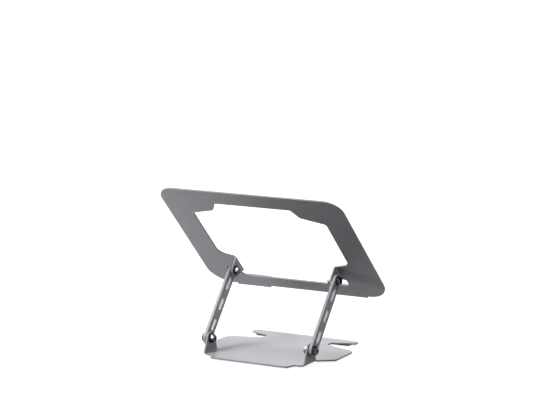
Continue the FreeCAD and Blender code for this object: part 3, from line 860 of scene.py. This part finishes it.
def pad_mesh(name, length, width, height):
    """Moulded pad on the XY plane, centred, lower face at zero."""
    edge = min(TOP_EDGE, height * TOP_EDGE_SHARE)
    shape = bmesh.new()
    profile = [(FOOT_DRAW, 0.0), (0.0, FOOT_DRAW), (0.0, height - edge)]
    for step in range(1, EDGE_STEPS + 1):
        angle = math.pi / 2 * step / EDGE_STEPS
        profile.append((edge * (1 - math.cos(angle)),
                        height - edge + edge * math.sin(angle)))
    rings = [pad_outline(shape, length, width, inset, level)
             for inset, level in profile]
    stitch(shape, rings)
    shape.faces.new(list(reversed(rings[0])))
    shape.faces.new(rings[-1])
    return finished_mesh(shape, name)


print("pad ends have", END_STEPS, "steps")

# %% [markdown]
# ## Grip ribs
# Fine ribs run across each pad. A bump in the rubber would vanish at the
# edge, so they are real. They repeat at a set pitch, which is work for a
# geometry nodes tree: it lays points along the pad, puts a thin rod on each,
# so deep that only a quarter of a millimetre stands out, and joins all of
# them to the pad that it was given.

# %% Tree that lays ribs along a pad
RIB_SIDES = 10


def rib_tree():
    """Tree with a row of rods about the middle of the pad, along its length."""
    tree = bpy.data.node_groups.new("grip_ribs", "GeometryNodeTree")
    face = tree.interface
    face.new_socket("Geometry", in_out="OUTPUT", socket_type="NodeSocketGeometry")
    face.new_socket("Geometry", in_out="INPUT", socket_type="NodeSocketGeometry")
    for name in ("Run", "Pitch", "Rib Length", "Rib Radius", "Level"):
        face.new_socket(name, in_out="INPUT", socket_type="NodeSocketFloat")
    face.new_socket("Material", in_out="INPUT", socket_type="NodeSocketMaterial")
    nodes, links = tree.nodes, tree.links
    given = nodes.new("NodeGroupInput")
    result = nodes.new("NodeGroupOutput")

    def math_node(operation, *values):
        node = nodes.new("ShaderNodeMath")
        node.operation = operation
        for slot_index, value in enumerate(values):
            if isinstance(value, float):
                node.inputs[slot_index].default_value = value
            else:
                links.new(value, node.inputs[slot_index])
        return node.outputs[0]

    count = math_node("ADD", math_node("FLOOR", math_node(
        "DIVIDE", given.outputs["Run"], given.outputs["Pitch"])), 1.0)
    first = math_node("MULTIPLY", math_node(
        "MULTIPLY", math_node("SUBTRACT", count, 1.0), given.outputs["Pitch"]), -0.5)
    start = nodes.new("ShaderNodeCombineXYZ")
    links.new(first, start.inputs["X"])
    links.new(given.outputs["Level"], start.inputs["Z"])
    offset = nodes.new("ShaderNodeCombineXYZ")
    links.new(given.outputs["Pitch"], offset.inputs["X"])
    line = nodes.new("GeometryNodeMeshLine")
    links.new(count, line.inputs["Count"])
    links.new(start.outputs[0], line.inputs["Start Location"])
    links.new(offset.outputs[0], line.inputs["Offset"])
    rib = nodes.new("GeometryNodeMeshCylinder")
    rib.inputs["Vertices"].default_value = RIB_SIDES
    links.new(given.outputs["Rib Radius"], rib.inputs["Radius"])
    links.new(given.outputs["Rib Length"], rib.inputs["Depth"])
    lay = nodes.new("GeometryNodeTransform")
    lay.inputs["Rotation"].default_value = (math.pi / 2, 0, 0)
    links.new(rib.outputs["Mesh"], lay.inputs["Geometry"])
    copies = nodes.new("GeometryNodeInstanceOnPoints")
    links.new(line.outputs[0], copies.inputs["Points"])
    links.new(lay.outputs[0], copies.inputs["Instance"])
    join = nodes.new("GeometryNodeJoinGeometry")
    links.new(given.outputs["Geometry"], join.inputs[0])
    links.new(copies.outputs[0], join.inputs[0])
    real = nodes.new("GeometryNodeRealizeInstances")
    links.new(join.outputs[0], real.inputs[0])
    paint = nodes.new("GeometryNodeSetMaterial")
    links.new(real.outputs[0], paint.inputs["Geometry"])
    links.new(given.outputs["Material"], paint.inputs["Material"])
    links.new(paint.outputs[0], result.inputs[0])
    return tree


grip_ribs = rib_tree()
print("rib tree has", len(grip_ribs.nodes), "nodes")

# %% [markdown]
# ## One pad
# A pad is modelled flat at the middle of the scene, ribbed, and then laid in
# place. The object could be moved, but a matrix that moves the points leaves
# it untouched at the middle, where every piece of the frame has its own. The
# ribs stop short of the round ends.

# %% Make and lay a pad
RIB_RISE = 0.25 * MM
RIB_PITCH = 2.4 * MM
RIB_RADIUS = 0.6 * MM
BARE_END_SHARE = 0.9
PAD_SHARP_DEGREES = 40


def pad_piece(name, length, width, height, place, rubber, body_name):
    """Ribbed pad laid in place by a matrix, standing for the solid of its name."""
    piece = bpy.data.objects.new(name + "_moulded",
                                 pad_mesh(name, length, width, height - RIB_RISE))
    bpy.context.scene.collection.objects.link(piece)
    apply_tree(piece, grip_ribs, {
        "Run": length - width * BARE_END_SHARE, "Pitch": RIB_PITCH,
        "Rib Length": width - RIB_PITCH, "Rib Radius": RIB_RADIUS,
        "Level": height - RIB_RADIUS, "Material": rubber})
    piece.data.transform(place)
    smooth(piece.data, PAD_SHARP_DEGREES)
    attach(piece, body_name)
    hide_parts(name)


print("ribs every", round(RIB_PITCH / MM, 2), "mm")

# %% [markdown]
# ## Where the pads go
# Each pad takes its place and size from the solid that it stands for. These
# can't be read straight from the box of the solid where the top plate tilts
# it, so its points are turned back by the tilt first. A cushion lies on the
# plate, and a liner stands against the wall of its stop.

# %% Lay the pads of the top plate
tilt = Matrix.Rotation(PLATE_TILT, 4, "X")
upright = Matrix.Rotation(-math.pi / 2, 4, "X")


def plate_box(node):
    """Corners of a solid in directions along and across the top plate."""
    mesh = frame["nodes"][node].data
    back = tilt.inverted()
    points = [back @ vertex.co for vertex in mesh.vertices]
    low = Vector([min(point[i] for point in points) for i in range(3)])
    high = Vector([max(point[i] for point in points) for i in range(3)])
    return low, high


for end in ("front", "rear"):
    for side in ("left", "right"):
        node = "cushion_%s_%s" % (end, side)
        low, high = plate_box(node)
        middle = (low + high) / 2
        place = tilt @ Matrix.Translation((middle.x, middle.y, low.z))
        pad_piece(node, high.x - low.x, high.y - low.y, high.z - low.z, place,
                  cushion_rubber, "tray")
for side in ("left", "right"):
    node = "stop_liner_" + side
    low, high = plate_box(node)
    middle = (low + high) / 2
    place = tilt @ Matrix.Translation((middle.x, low.y, middle.z)) @ upright
    pad_piece(node, high.x - low.x, high.z - low.z, high.y - low.y, place,
              cushion_rubber, "tray")
print("four cushions and two liners laid")

# %% [markdown]
# ## Feet
# The base is flat, so the boxes of the feet are used as they are. A foot
# hangs under the sheet with its ribs down, so the pad is turned over, and
# the two at the sides are turned a quarter as well.

# %% Lay the feet
over = Matrix.Rotation(math.pi, 4, "X")
quarter = Matrix.Rotation(math.pi / 2, 4, "Z")
for spot in ("front", "rear", "side"):
    for side in ("left", "right"):
        node = "foot_%s_%s" % (spot, side)
        low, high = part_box(node)
        middle = (Vector(low) + Vector(high)) / 2
        size = Vector(high) - Vector(low)
        place = Matrix.Translation((middle.x, middle.y, high[2])) @ over
        if spot == "side":
            place = place @ quarter
        pad_piece(node, max(size.x, size.y), min(size.x, size.y), size.z, place,
                  foot_rubber, "base")
pads = [piece.name for piece in bpy.data.objects if piece.name.endswith("_moulded")]
print("pads in all:", len(pads))

# %% [markdown]
# Finer hardware must not change the size of the stand, so the box of everything that shows
# is printed at the end.

# %% Write sizes and finish
low, high = (list(corner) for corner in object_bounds())
print("box", [round(end - start, 4) for start, end in zip(low, high)])
